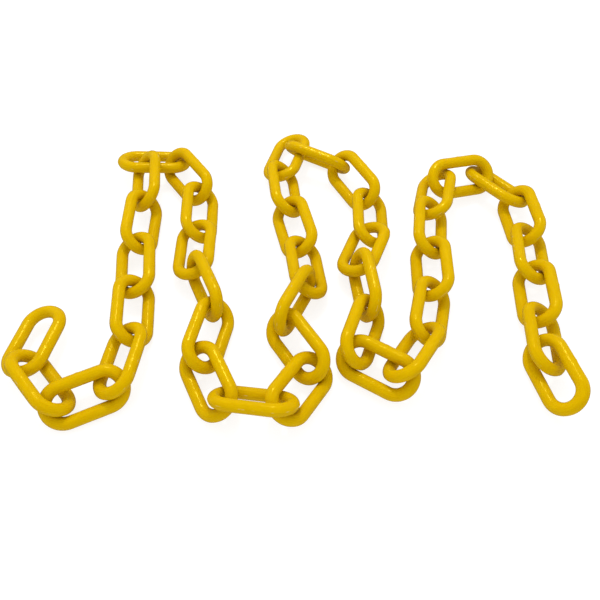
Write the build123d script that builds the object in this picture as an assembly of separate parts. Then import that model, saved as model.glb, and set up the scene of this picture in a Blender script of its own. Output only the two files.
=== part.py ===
from build123d import *
from collections import namedtuple
from math import cos, radians, sin
import os

import numpy as np

# A strand of moulded plastic barrier chain, laid on the floor in six strands joined by
# five turns.
# Every link is one closed oval of round bar. Nothing is glued or pinned: each link is
# threaded through the eye of the next, and that threading is the only joint there is.
# Frame: millimetres, floor at Z = 0, strand centred on X and Y, length of the lay on X.

# ---- The link ---------------------------------------------------------------
BAR_DIAMETER = 7.4
EYE_LENGTH = 36.2
EYE_WIDTH = 13.2

# ---- How close two links lie ------------------------------------------------
BAR_GAP = 0.4

# ---- How the strand lies ----------------------------------------------------
# x, y     middle of the link in plan, for a chain whose eyes are PLAN_EYE_LENGTH long
# heading  direction the link runs, degrees anticlockwise from +X
# lean     how far its left-hand side is raised, degrees
# tilt     how far its leading end is raised, degrees
# lift     height it is carried above the floor by its neighbours, mm
Place = namedtuple("Place", "x y heading lean tilt lift", defaults=(0, 0))

PLAN_EYE_LENGTH = 36.2
LAY = [
    # free end, then up the first strand
    Place(-160, -54, -101, 11, tilt=3, lift=4),
    Place(-149, -82, -48, -46, tilt=-4, lift=1),
    Place(-123, -90, 24, 30, tilt=1),
    Place(-108, -67, 82, -28, tilt=-1, lift=2),
    Place(-105, -32, 95, 42),
    Place(-109, 2, 97, -23, lift=3),
    Place(-110, 38, 90, 48, tilt=2),
    Place(-110, 73, 96, -45, tilt=1, lift=6),
    # first loop, and down the second strand
    Place(-109, 97, 6, -20, tilt=-7, lift=1),
    Place(-83, 80, -54, 44, lift=2),
    Place(-72, 48, -88, -43),
    Place(-72, 17, -89, 19, tilt=5, lift=3),
    Place(-63, -18, -66, 72, tilt=1),
    Place(-58, -50, -102, -44, tilt=2),
    Place(-57, -80, -64, 29, lift=2),
    # second loop, and up the third strand
    Place(-30, -95, -10, -43, tilt=6, lift=1),
    Place(-3, -84, 58, 25, tilt=-11, lift=1),
    Place(-5, -58, 124, -43, tilt=2, lift=1),
    Place(-7, -29, 66, 82, tilt=-6, lift=1),
    Place(-1, 0, 98, 37, tilt=-5, lift=1),
    Place(-7, 33, 104, -35, tilt=-1, lift=1),
    Place(-16, 71, 97, 46, tilt=-3),
    Place(-14, 103, 74, -20, tilt=-3, lift=1),
    # third loop, and down the fourth strand
    Place(7, 100, -28, -55, tilt=-1, lift=2),
    Place(34, 77, -60, 47, tilt=-1),
    Place(43, 43, -91, -34, tilt=1, lift=2),
    Place(38, 16, -111, 23, tilt=6, lift=1),
    Place(37, -16, -83, 71),
    Place(31, -50, -109, -49, tilt=5),
    # fourth loop, and up the fifth strand
    Place(41, -72, -32, 28, tilt=3, lift=1),
    Place(61, -64, 57, -44, tilt=-9),
    Place(74, -33, 76, 37, tilt=-5),
    Place(79, -1, 87, -36, tilt=-3, lift=3),
    Place(82, 34, 82, 38, tilt=-2, lift=4),
    Place(88, 63, 76, -33, tilt=-7, lift=1),
    # fifth loop, and down the last strand to the other free end
    Place(109, 79, 18, 36, tilt=-7, lift=3),
    Place(133, 73, -52, -29, tilt=5, lift=1),
    Place(145, 43, -87, 47, tilt=3, lift=2),
    Place(143, 12, -97, -29, tilt=6),
    Place(141, -20, -95, 42, tilt=4, lift=1),
    Place(139, -53, -96, -32, tilt=6),
    Place(139, -77, -78, 48, tilt=5, lift=1),
]

# ---- Settling the strand ----------------------------------------------------
LOOP_POINTS = 96
SETTLE_PASSES = 600
SETTLE_SHARE = 0.6
SETTLE_MARGIN = 0.02
SETTLE_TOLERANCE = 0.01
NEIGHBOUR_REACH = 2

# ---- Derived ----------------------------------------------------------------
BAR_RADIUS = BAR_DIAMETER / 2
CROWN_RADIUS = (EYE_WIDTH + BAR_DIAMETER) / 2
RAIL_LENGTH = EYE_LENGTH - EYE_WIDTH
CLEAR = BAR_DIAMETER + BAR_GAP
TURN_RESISTANCE = EYE_LENGTH ** 2 / 2  # how hard a pushed link is to turn, mm2


def directions(place):
    """Unit vectors along a link and across its eye."""
    heading, tilt, lean = radians(place.heading), radians(place.tilt), radians(place.lean)
    along = np.array([cos(heading) * cos(tilt), sin(heading) * cos(tilt), sin(tilt)])
    left = np.array([-sin(heading), cos(heading), 0.0])
    across = cos(lean) * left + sin(lean) * np.cross(along, left)
    return along, across


def reach(along, across):
    """How far the bar's surface stands out from the link's middle on X, Y and Z."""
    return RAIL_LENGTH / 2 * np.abs(along) + CROWN_RADIUS * np.hypot(along, across) + BAR_RADIUS


def loop_points(along, across):
    """Points round the centreline of a link whose middle is at the origin."""
    quarter = LOOP_POINTS // 4
    turn = np.linspace(-np.pi / 2, np.pi / 2, quarter + 1)
    crown = np.outer(np.cos(turn), along) + np.outer(np.sin(turn), across)
    leading = RAIL_LENGTH / 2 * along + CROWN_RADIUS * crown
    steps = np.linspace(0, 1, quarter + 1)[1:-1, None]
    rail = leading[-1] + steps * (-leading[0] - leading[-1])
    return np.vstack([leading, rail, -leading, -rail])


def turned(frame, spin):
    """A link's two unit vectors after a small turn, given as a turning vector in radians."""
    along, across = (vector + np.cross(spin, vector) for vector in frame)
    along /= np.linalg.norm(along)
    across -= (across @ along) * along
    across /= np.linalg.norm(across)
    return along, across


def push_apart(middles, frames, loops, first, second, turning):
    """Move two links away from each other until their bars are clear. Returns the shortfall."""
    a = loops[first] + middles[first]
    b = loops[second] + middles[second]
    spacing = np.linalg.norm(a[:, None] - b[None], axis=2)
    i, j = np.unravel_index(spacing.argmin(), spacing.shape)
    shortfall = CLEAR - spacing[i, j]
    if shortfall > 0:
        away = (b[j] - a[i]) / spacing[i, j]
        step = SETTLE_SHARE * (shortfall + SETTLE_MARGIN) * away
        for link, arm, push in ((first, loops[first][i], -step), (second, loops[second][j], step)):
            middles[link] += push
            if turning:
                spin = np.cross(arm, push) / TURN_RESISTANCE
                frames[link] = turned(frames[link], spin)
                loops[link] = loop_points(*frames[link])
    return shortfall


def settle(middles, frames):
    """Spread links that crowd each other, never letting one sink into the floor.

    They slide apart first. Where sliding can't clear them, they turn as well."""
    count = len(middles)
    pairs = [(i, i + k) for k in range(1, NEIGHBOUR_REACH + 1) for i in range(count - k)]
    loops = [loop_points(*frame) for frame in frames]
    for turning in (False, True):
        for _ in range(SETTLE_PASSES):
            worst = max(push_apart(middles, frames, loops, i, j, turning) for i, j in pairs)
            resting_heights = [reach(*frame)[2] for frame in frames]
            middles[:, 2] = np.maximum(middles[:, 2], resting_heights)
            if worst < SETTLE_TOLERANCE:
                return


def link_planes():
    """One plane per link: origin at its middle, X along it, Y across its eye."""
    frames = [directions(place) for place in LAY]
    spread = EYE_LENGTH / PLAN_EYE_LENGTH
    middles = np.array([
        [place.x * spread, place.y * spread, reach(*frame)[2] + place.lift]
        for place, frame in zip(LAY, frames)
    ])
    settle(middles, frames)
    reaches = np.array([reach(*frame) for frame in frames])
    low = (middles - reaches).min(axis=0)
    high = (middles + reaches).max(axis=0)
    middles -= [(low[0] + high[0]) / 2, (low[1] + high[1]) / 2, low[2]]
    return [
        Plane(origin=tuple(middle), x_dir=tuple(along), z_dir=tuple(np.cross(along, across)))
        for middle, (along, across) in zip(middles, frames)
    ]


def chain_link():
    """One link lying flat on XY: two straight rails joined by two half-round crowns."""
    rail_offset = CROWN_RADIUS
    rails = [
        Pos(0, side * rail_offset, 0) * Rot(0, 90, 0) * Cylinder(BAR_RADIUS, RAIL_LENGTH)
        for side in (-1, 1)
    ]
    crowns = [
        Pos(end * RAIL_LENGTH / 2, 0, 0) * Rot(0, 0, turn) * half_ring()
        for end, turn in ((1, -90), (-1, 90))
    ]
    return rails[0] + rails[1] + crowns[0] + crowns[1]


def half_ring():
    """Half a ring of bar, centred on the origin, sweeping from +X round to -X."""
    section = Plane.XZ * Pos(CROWN_RADIUS, 0, 0) * Circle(BAR_RADIUS)
    return revolve(section, axis=Axis.Z, revolution_arc=180)


def main():
    os.makedirs("parts", exist_ok=True)
    for number, plane in enumerate(link_planes(), start=1):
        name = f"link_{number:02d}"
        link = plane.location * chain_link()
        solid = link.solid()
        solid.label = name
        export_step(solid, f"parts/{name}.step")


main()
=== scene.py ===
import math

import bpy
import numpy as np
from mathutils import Matrix, Vector


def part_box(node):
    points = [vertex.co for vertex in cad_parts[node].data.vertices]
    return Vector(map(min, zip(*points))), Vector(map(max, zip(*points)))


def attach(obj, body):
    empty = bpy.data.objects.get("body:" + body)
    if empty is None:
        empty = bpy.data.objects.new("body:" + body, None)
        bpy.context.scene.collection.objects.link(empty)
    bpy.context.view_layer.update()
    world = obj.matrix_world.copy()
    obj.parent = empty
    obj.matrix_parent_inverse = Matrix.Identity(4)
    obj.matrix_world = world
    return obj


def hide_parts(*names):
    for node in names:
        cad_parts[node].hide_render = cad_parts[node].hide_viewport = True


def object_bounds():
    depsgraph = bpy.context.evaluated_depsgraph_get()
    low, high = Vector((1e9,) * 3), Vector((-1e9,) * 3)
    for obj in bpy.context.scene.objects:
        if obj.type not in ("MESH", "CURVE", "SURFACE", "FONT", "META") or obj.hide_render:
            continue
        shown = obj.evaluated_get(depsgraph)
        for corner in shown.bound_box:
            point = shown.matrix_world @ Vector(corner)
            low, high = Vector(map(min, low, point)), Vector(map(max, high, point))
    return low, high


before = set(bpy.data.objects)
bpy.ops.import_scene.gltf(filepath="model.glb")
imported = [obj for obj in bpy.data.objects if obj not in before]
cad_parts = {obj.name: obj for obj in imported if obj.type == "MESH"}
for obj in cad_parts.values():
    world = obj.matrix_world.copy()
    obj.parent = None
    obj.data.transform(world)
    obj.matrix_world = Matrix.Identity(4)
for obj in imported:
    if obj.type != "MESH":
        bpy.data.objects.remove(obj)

# The looks of a length of moulded plastic barrier chain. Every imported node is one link, and
# a finer link takes its place: the same oval, with the marks that the mould leaves on it.
# Metres throughout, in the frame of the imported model.

CAD_LOW, CAD_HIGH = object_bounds()
MIDDLE = (CAD_LOW + CAD_HIGH) / 2
MM = 0.001

# ---- Camera -----------------------------------------------------------------
CAMERA_LENS = 38.4
CAMERA_SENSOR = 36.0
CAMERA_ELEVATION = 55.0
CAMERA_DISTANCE = 404.6 * MM
CAMERA_AIM_OFFSET = Vector((4.5 * MM, -26.9 * MM))

# ---- Light ------------------------------------------------------------------
SOFTBOX_DISTANCE = 0.9
SOFTBOXES = {
    "overhead": {
        "direction": Vector((-0.10, 0.50, 0.85)),
        "size": 0.8,
        "power": 2.5,
        "glossy": False,
    },
    "lamp": {
        "direction": Vector((-0.05, 0.46, 0.87)),
        "size": 0.06,
        "power": 1.9,
        "glossy": True,
    },
}
WORLD_COLOUR = (0.97, 0.98, 1.0, 1.0)
WORLD_STRENGTH = 1.05
# How much of the room and the floor shows in the plastic's reflections.
REFLECTED_SHARE = 0.06

# ---- Floor ------------------------------------------------------------------
FLOOR_SIZE = 6.0
FLOOR_COLOUR = (0.25, 0.25, 0.25, 1.0)
# The floor glows white though it is no lamp: this lightens the shadows on it and lights the links
# from below.
FLOOR_GLOW = 0.80
FLOOR_ROUGHNESS = 0.9
FLOOR_MOTTLE = 0.97
FLOOR_GRAINS = 9.0

# ---- Mesh of a link ---------------------------------------------------------
CROWN_STEPS = 40
RAIL_STEPS = 30
SECTION_STEPS = 44

# ---- What the mould leaves on a link ----------------------------------------
# Where the parting line runs round the bar, and how much of it is left: the inner one is
# rubbed down by the neighbouring links.
PARTING_LINES = {0.0: 1.0, math.pi: 0.4}
FLASH_HEIGHT = 0.09 * MM
FLASH_WIDTH = math.radians(3.5)
FLASH_STEPS = (-1.6, -0.8, 0.0, 0.8, 1.6)
CUSP_HEIGHT = 0.12 * MM
CUSP_WIDTH = math.radians(16)
HALF_MISMATCH = 0.05 * MM
FLASH_RIPPLE = 0.45
UNEVEN_BAR = 0.05 * MM
UNEVEN_WAVES = 5
# Whole waves that fit along the oval and round the bar, from the first up to below the second.
WAVES_ALONG = (1, 7)
WAVES_ROUND = (0, 3)
# The gate mark: a small nub on the outer parting line, at the middle of one rail.
# Its place and length are shares of the way round the oval, its width an angle round the bar.
GATE_PLACE = 0.396
GATE_LENGTH = 0.009
GATE_WIDTH = 0.26
GATE_HEIGHT = 0.22 * MM

# ---- The plastic ------------------------------------------------------------
BODY_DEEP = (0.57, 0.344, 0.0, 1.0)
BODY_CLEAR = (0.62, 0.381, 0.0, 1.0)
STREAK_COLOUR = (0.66, 0.42, 0.0, 1.0)
STREAK_SHARE = 0.5
# Painted shade: the plastic's colour is pulled towards a dark brown in the crevices between links,
# where ambient occlusion finds little open sky.
CREVICE_SHADE_COLOUR = (0.26, 0.12, 0.0, 1.0)
CREVICE_SHADE_REACH = 4 * MM
CREVICE_SHADE_SHARE = 0.30
# Pale patches along both parting lines: partly scuffs, partly a painted highlight for the pale
# glints on the link edges.
SCUFF_AND_GLINT_COLOUR = (0.66, 0.54, 0.30, 1.0)
SCUFF_AND_GLINT_SHARE = 0.5
SCUFF_AND_GLINT_EDGES = (0.03, 0.09)
ROUGHNESS = (0.12, 0.28)
# Fine marks in the surface: how deep they go, and how much of that each kind takes up.
MARK_DEPTH = 0.16 * MM
PEEL_GRAINS = 420.0
PEEL_SHARE = 0.8
RIPPLE_SHARE = 1.1
DRAWN_SHARE = 0.6
POLYETHYLENE = {
    "IOR": 1.5,
    "Specular IOR Level": 0.4,
    "Specular Tint": (1.0, 0.82, 0.06, 1.0),
    "Subsurface Weight": 0.12,
    "Subsurface Radius": (1.6, 0.9, 0.05),
    "Subsurface Scale": 1.0 * MM,
}


# ---- Where each link lies ---------------------------------------------------
def link_axes(node):
    """Middle of a link and the unit vectors along it, across its eye and through its eye."""
    mesh = node.data
    corners = np.array([
        [mesh.vertices[i].co for i in face.vertices][:3] for face in mesh.polygons
    ])
    areas = np.array([face.area for face in mesh.polygons])
    centres = corners.mean(axis=1)
    low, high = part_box(node.name)
    middle = np.array((low + high) / 2)
    spread = (centres - middle) * areas[:, None]
    _, vectors = np.linalg.eigh(spread.T @ (centres - middle))
    through, across, along = vectors.T
    return middle, along, across, through


def link_size(node, axes):
    """Overall length, width and bar thickness of a link."""
    middle, along, across, through = axes
    points = np.array([vertex.co for vertex in node.data.vertices]) - middle
    return [np.ptp(points @ axis) for axis in (along, across, through)]


def link_matrices(nodes):
    """World matrix of every link, running the same way along the chain, and the common size."""
    names = sorted(nodes)
    axes = [link_axes(nodes[name]) for name in names]
    size = np.mean([link_size(nodes[name], a) for name, a in zip(names, axes)], axis=0)
    matrices = {}
    for index, (name, (middle, along, across, through)) in enumerate(zip(names, axes)):
        last = min(index + 1, len(names) - 1)
        onward = axes[last][0] - axes[last - 1][0]
        along = along * np.sign(along @ onward)
        through = through * np.sign(through[2])
        across = np.cross(through, along)
        rotation = Matrix(np.column_stack([along, across, through]).tolist()).to_4x4()
        matrices[name] = Matrix.Translation(middle.tolist()) @ rotation
    return matrices, size


# ---- The link's mesh --------------------------------------------------------
def centreline(length, width, bar):
    """Points round the oval, the outward direction at each, and the share of the way round."""
    radius = (width - bar) / 2
    half_rail = (length - width) / 2
    turn = np.linspace(-math.pi / 2, math.pi / 2, CROWN_STEPS + 1)
    outward = np.column_stack([np.cos(turn), np.sin(turn)])
    crown = outward * radius + (half_rail, 0)
    steps = np.linspace(0, 1, RAIL_STEPS + 1)[1:-1, None]
    rail = crown[-1] + steps * (-2 * half_rail, 0)
    rail_outward = np.tile([0.0, 1.0], (len(rail), 1))
    points = np.vstack([crown, rail, -crown, -rail])
    outwards = np.vstack([outward, rail_outward, -outward, -rail_outward])
    runs = np.linalg.norm(np.roll(points, -1, axis=0) - points, axis=1)
    share = np.concatenate([[0], np.cumsum(runs)[:-1]]) / runs.sum()
    return points, outwards, share


def section_angles():
    """Angles round the bar from the outer parting line, closer together at both lines."""
    even = np.linspace(0, 2 * math.pi, SECTION_STEPS, endpoint=False)
    extra = [line + step * FLASH_WIDTH for line in PARTING_LINES for step in FLASH_STEPS]
    lines = np.array([*PARTING_LINES, 2 * math.pi])
    crowded = np.abs(even[:, None] - lines) < 2 * FLASH_WIDTH
    clear = even[~crowded.any(axis=1)]
    return np.unique(np.mod(np.concatenate([clear, extra]), 2 * math.pi))


def waves(random, share, angle):
    """A smooth unevenness between about -1 and 1 that closes on itself both ways round."""
    total = np.zeros((len(share), len(angle)))
    for _ in range(UNEVEN_WAVES):
        rounds, turns = random.integers(*WAVES_ALONG), random.integers(*WAVES_ROUND)
        phase = random.uniform(0, 2 * math.pi)
        total += np.cos(2 * math.pi * rounds * share[:, None] + turns * angle[None] + phase)
    return total / UNEVEN_WAVES


def bar_radius(random, bar, share, angle):
    """Radius of the bar at each place along it and round it."""
    radius = np.full((len(share), len(angle)), bar / 2)
    ripple = 1 - FLASH_RIPPLE + FLASH_RIPPLE * waves(random, share, angle * 0)
    for line, left in PARTING_LINES.items():
        away = np.abs((angle - line + math.pi) % (2 * math.pi) - math.pi)
        radius += left * CUSP_HEIGHT * np.exp(-away / CUSP_WIDTH)
        radius += left * FLASH_HEIGHT * ripple * np.exp(-((away / FLASH_WIDTH) ** 2))
    radius += HALF_MISMATCH * np.tanh(np.sin(angle) / math.sin(FLASH_WIDTH)) / 2
    off_line = np.minimum(angle, 2 * math.pi - angle) / GATE_WIDTH
    off_gate = (share[:, None] - GATE_PLACE) / GATE_LENGTH
    radius += GATE_HEIGHT * np.exp(-(off_line**2) - off_gate**2)
    return radius + UNEVEN_BAR * waves(random, share, angle)


def link_mesh(name, seed, size):
    """One moulded link about its own origin: X along it, Z through its eye."""
    random = np.random.default_rng(seed)
    points, outwards, share = centreline(*size)
    angle = section_angles()
    radius = bar_radius(random, size[2], share, angle)
    out = radius * np.cos(angle)
    flat = points[:, None] + out[:, :, None] * outwards[:, None]
    vertices = np.dstack([flat, radius * np.sin(angle)]).reshape(-1, 3)

    rows, columns = radius.shape
    index = np.arange(rows * columns).reshape(rows, columns)
    onward = np.roll(index, -1, axis=0)
    corners = [index, onward, np.roll(onward, -1, axis=1), np.roll(index, -1, axis=1)]
    faces = np.stack(corners, axis=-1)

    mesh = bpy.data.meshes.new(name)
    mesh.from_pydata(vertices.tolist(), [], faces.reshape(-1, 4).tolist())
    mesh.shade_smooth()
    store_bar_position(mesh, share, angle, seed)
    return mesh


def store_bar_position(mesh, share, angle, seed):
    """Keep where each vertex is along and round the bar, so that marks can follow the bar."""
    lap, turn = np.meshgrid(2 * math.pi * share, angle, indexing="ij")
    loop = np.dstack([np.cos(lap), np.sin(lap), np.cos(turn)]).reshape(-1)
    mesh.attributes.new("bar_loop", "FLOAT_VECTOR", "POINT").data.foreach_set("vector", loop)
    side = np.sin(turn).reshape(-1)
    mesh.attributes.new("bar_side", "FLOAT", "POINT").data.foreach_set("value", side)
    number = np.full(side.shape, float(seed))
    mesh.attributes.new("link_number", "FLOAT", "POINT").data.foreach_set("value", number)


# ---- Materials --------------------------------------------------------------
class Shader:
    """A material's nodes, with short calls to add them and join them up."""

    def __init__(self, name):
        self.material = bpy.data.materials.new(name)
        self.material.use_nodes = True
        self.tree = self.material.node_tree
        self.surface = self.tree.nodes["Principled BSDF"]

    def node(self, kind, inputs=None, **settings):
        """Add a node, with values or links for its inputs."""
        made = self.tree.nodes.new(kind)
        for key, value in settings.items():
            setattr(made, key, value)
        for key, value in (inputs or {}).items():
            self.put(value, made.inputs[key])
        return made

    def put(self, value, socket):
        """Link an output to a socket, or set a constant on it."""
        if isinstance(value, bpy.types.NodeSocket):
            self.tree.links.new(value, socket)
        else:
            socket.default_value = value

    def attribute(self, name, output):
        """One output of a mesh attribute."""
        return self.node("ShaderNodeAttribute", attribute_name=name).outputs[output]

    def maths(self, operation, *values):
        """The result of one operation on up to three values."""
        made = self.node("ShaderNodeMath", dict(enumerate(values)), operation=operation)
        return made.outputs["Value"]

    def spread(self, value, low, high, to_low, to_high):
        """A value between low and high, carried over to another range."""
        inputs = {
            "Value": value,
            "From Min": low,
            "From Max": high,
            "To Min": to_low,
            "To Max": to_high,
        }
        return self.node("ShaderNodeMapRange", inputs).outputs["Result"]

    def mix(self, share, first, second):
        """A colour between two others."""
        made = self.node("ShaderNodeMix", data_type="RGBA")
        self.put(share, made.inputs["Factor"])
        self.put(first, made.inputs[6])
        self.put(second, made.inputs[7])
        return made.outputs[2]


def bar_noise(shader, along, around, detail, number):
    """Noise that follows the bar: along and around are how many grains fit each way."""
    loop = shader.attribute("bar_loop", "Vector")
    side = shader.attribute("bar_side", "Fac")
    grains = {0: loop, 1: (along, along, around)}
    stretched = shader.node("ShaderNodeVectorMath", grains, operation="MULTIPLY")
    own_place = {0: stretched.outputs[0], 1: number}
    shifted = shader.node("ShaderNodeVectorMath", own_place, operation="ADD")
    depth = shader.maths("MULTIPLY", side, around)
    inputs = {"Vector": shifted.outputs[0], "W": depth, "Scale": 1.0, "Detail": detail}
    return shader.node("ShaderNodeTexNoise", inputs, noise_dimensions="4D").outputs["Fac"]


def chain_plastic():
    """Yellow polyethylene, coloured right through, with flow streaks and a slight orange peel."""
    shader = Shader("yellow_polyethylene")
    number = shader.attribute("link_number", "Fac")
    place = shader.node("ShaderNodeTexCoord").outputs["Object"]

    streaks = bar_noise(shader, 2.2, 7.0, 3.0, number)
    clouds = bar_noise(shader, 3.0, 1.6, 2.0, number)
    body = shader.mix(shader.spread(clouds, 0.3, 0.7, 0.0, 1.0), BODY_DEEP, BODY_CLEAR)
    streaked = shader.spread(streaks, 0.45, 0.75, 0.0, STREAK_SHARE)
    colour = shader.mix(streaked, body, STREAK_COLOUR)

    # Painted shade: darker brown where ambient occlusion finds the crevices between links.
    reach = {"Distance": CREVICE_SHADE_REACH}
    open_sky = shader.node("ShaderNodeAmbientOcclusion", reach, samples=8).outputs["AO"]
    shade = shader.spread(open_sky, 0.15, 0.7, CREVICE_SHADE_SHARE, 0.0)
    colour = shader.mix(shade, colour, CREVICE_SHADE_COLOUR)

    # Pale patches along the parting lines, partly scuffs and partly a painted highlight.
    side = shader.attribute("bar_side", "Fac")
    near_line = shader.spread(shader.maths("ABSOLUTE", side), *SCUFF_AND_GLINT_EDGES, 1.0, 0.0)
    scuff_and_glint_patches = bar_noise(shader, 5.0, 2.0, 4.0, number)
    scuff_and_glint = shader.maths("MULTIPLY", near_line, shader.spread(scuff_and_glint_patches, 0.55, 0.68, 0.0, SCUFF_AND_GLINT_SHARE))
    colour = shader.mix(scuff_and_glint, colour, SCUFF_AND_GLINT_COLOUR)

    grains = {"Vector": place, "Scale": PEEL_GRAINS, "Detail": 2.0}
    peel = shader.node("ShaderNodeTexNoise", grains).outputs["Fac"]
    ripples = bar_noise(shader, 7.0, 3.0, 2.0, number)
    drawn = bar_noise(shader, 1.5, 5.0, 2.0, number)
    height = shader.maths("MULTIPLY", peel, PEEL_SHARE)
    height = shader.maths("MULTIPLY_ADD", ripples, RIPPLE_SHARE, height)
    height = shader.maths("MULTIPLY_ADD", drawn, DRAWN_SHARE, height)
    depth = {"Height": height, "Strength": 1.0, "Distance": MARK_DEPTH}
    bump = shader.node("ShaderNodeBump", depth)

    surface = {
        "Base Color": colour,
        "Roughness": shader.spread(streaks, 0.3, 0.7, *ROUGHNESS),
        "Normal": bump.outputs["Normal"],
        **POLYETHYLENE,
    }
    for key, value in surface.items():
        shader.put(value, shader.surface.inputs[key])
    return shader.material


def dimmed(colour, share):
    """A colour with its brightness cut to a share."""
    return tuple(share * channel for channel in colour[:3]) + (1.0,)


def floor_paint():
    """Plain pale floor with the faintest mottling."""
    shader = Shader("pale_floor")
    grains = {"Scale": FLOOR_GRAINS, "Detail": 3.0}
    noise = shader.node("ShaderNodeTexNoise", grains).outputs["Fac"]
    colour = shader.mix(noise, FLOOR_COLOUR, dimmed(FLOOR_COLOUR, FLOOR_MOTTLE))
    mirrored = shader.node("ShaderNodeLightPath").outputs["Is Glossy Ray"]
    colour = shader.mix(mirrored, colour, dimmed(FLOOR_COLOUR, REFLECTED_SHARE))
    # Painted light: the floor's own glow, which lightens its shadows and lights the links from
    # below.
    glow = shader.spread(mirrored, 0.0, 1.0, FLOOR_GLOW, FLOOR_GLOW * REFLECTED_SHARE)
    surface = {
        "Base Color": colour,
        "Roughness": FLOOR_ROUGHNESS,
        "Emission Color": (1.0, 1.0, 1.0, 1.0),
        "Emission Strength": glow,
    }
    for key, value in surface.items():
        shader.put(value, shader.surface.inputs[key])
    return shader.material


# ---- The chain --------------------------------------------------------------
def build_chain():
    plastic = chain_plastic()
    matrices, size = link_matrices(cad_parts)
    for seed, (name, matrix) in enumerate(sorted(matrices.items()), start=1):
        piece_name = f"moulded_{name}"
        mesh = link_mesh(piece_name, seed, size)
        mesh.transform(matrix)
        mesh.materials.append(plastic)
        piece = bpy.data.objects.new(piece_name, mesh)
        bpy.context.scene.collection.objects.link(piece)
        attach(piece, name)
        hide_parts(name)


# ---- Floor, light and camera ------------------------------------------------
def build_floor():
    half = FLOOR_SIZE / 2
    corners = [(-half, -half, 0), (half, -half, 0), (half, half, 0), (-half, half, 0)]
    mesh = bpy.data.meshes.new("floor")
    mesh.from_pydata(corners, [], [(0, 1, 2, 3)])
    mesh.materials.append(floor_paint())
    floor = bpy.data.objects.new("floor", mesh)
    bpy.context.scene.collection.objects.link(floor)
    floor.location.z = CAD_LOW.z


def build_light():
    for name, softbox in SOFTBOXES.items():
        light = bpy.data.lights.new(name, "AREA")
        light.size = softbox["size"]
        light.energy = softbox["power"]
        lamp = bpy.data.objects.new(name, light)
        lamp.visible_glossy = softbox["glossy"]
        bpy.context.scene.collection.objects.link(lamp)
        direction = softbox["direction"].normalized()
        lamp.location = MIDDLE + SOFTBOX_DISTANCE * direction
        lamp.rotation_euler = direction.to_track_quat("Z", "Y").to_euler()

    world = bpy.data.worlds.new("studio")
    world.use_nodes = True
    tree = world.node_tree
    background = tree.nodes["Background"]
    background.inputs["Color"].default_value = WORLD_COLOUR
    path = tree.nodes.new("ShaderNodeLightPath")
    dimmer = tree.nodes.new("ShaderNodeMapRange")
    dimmer.inputs["To Min"].default_value = WORLD_STRENGTH
    dimmer.inputs["To Max"].default_value = WORLD_STRENGTH * REFLECTED_SHARE
    tree.links.new(path.outputs["Is Glossy Ray"], dimmer.inputs["Value"])
    tree.links.new(dimmer.outputs["Result"], background.inputs["Strength"])
    bpy.context.scene.world = world


def build_camera():
    lens = bpy.data.cameras.new("camera")
    lens.lens = CAMERA_LENS
    lens.sensor_width = CAMERA_SENSOR
    lens.clip_start = 10 * MM
    camera = bpy.data.objects.new("camera", lens)
    bpy.context.scene.collection.objects.link(camera)
    angle = math.radians(CAMERA_ELEVATION)
    back = Vector((0, -math.cos(angle), math.sin(angle)))
    aim = Vector((MIDDLE.x, MIDDLE.y, CAD_LOW.z)) + CAMERA_AIM_OFFSET.to_3d()
    camera.location = aim + CAMERA_DISTANCE * back
    camera.rotation_euler = back.to_track_quat("Z", "Y").to_euler()
    bpy.context.scene.camera = camera


bpy.context.scene.view_settings.view_transform = "Standard"
build_chain()
build_floor()
build_light()
build_camera()
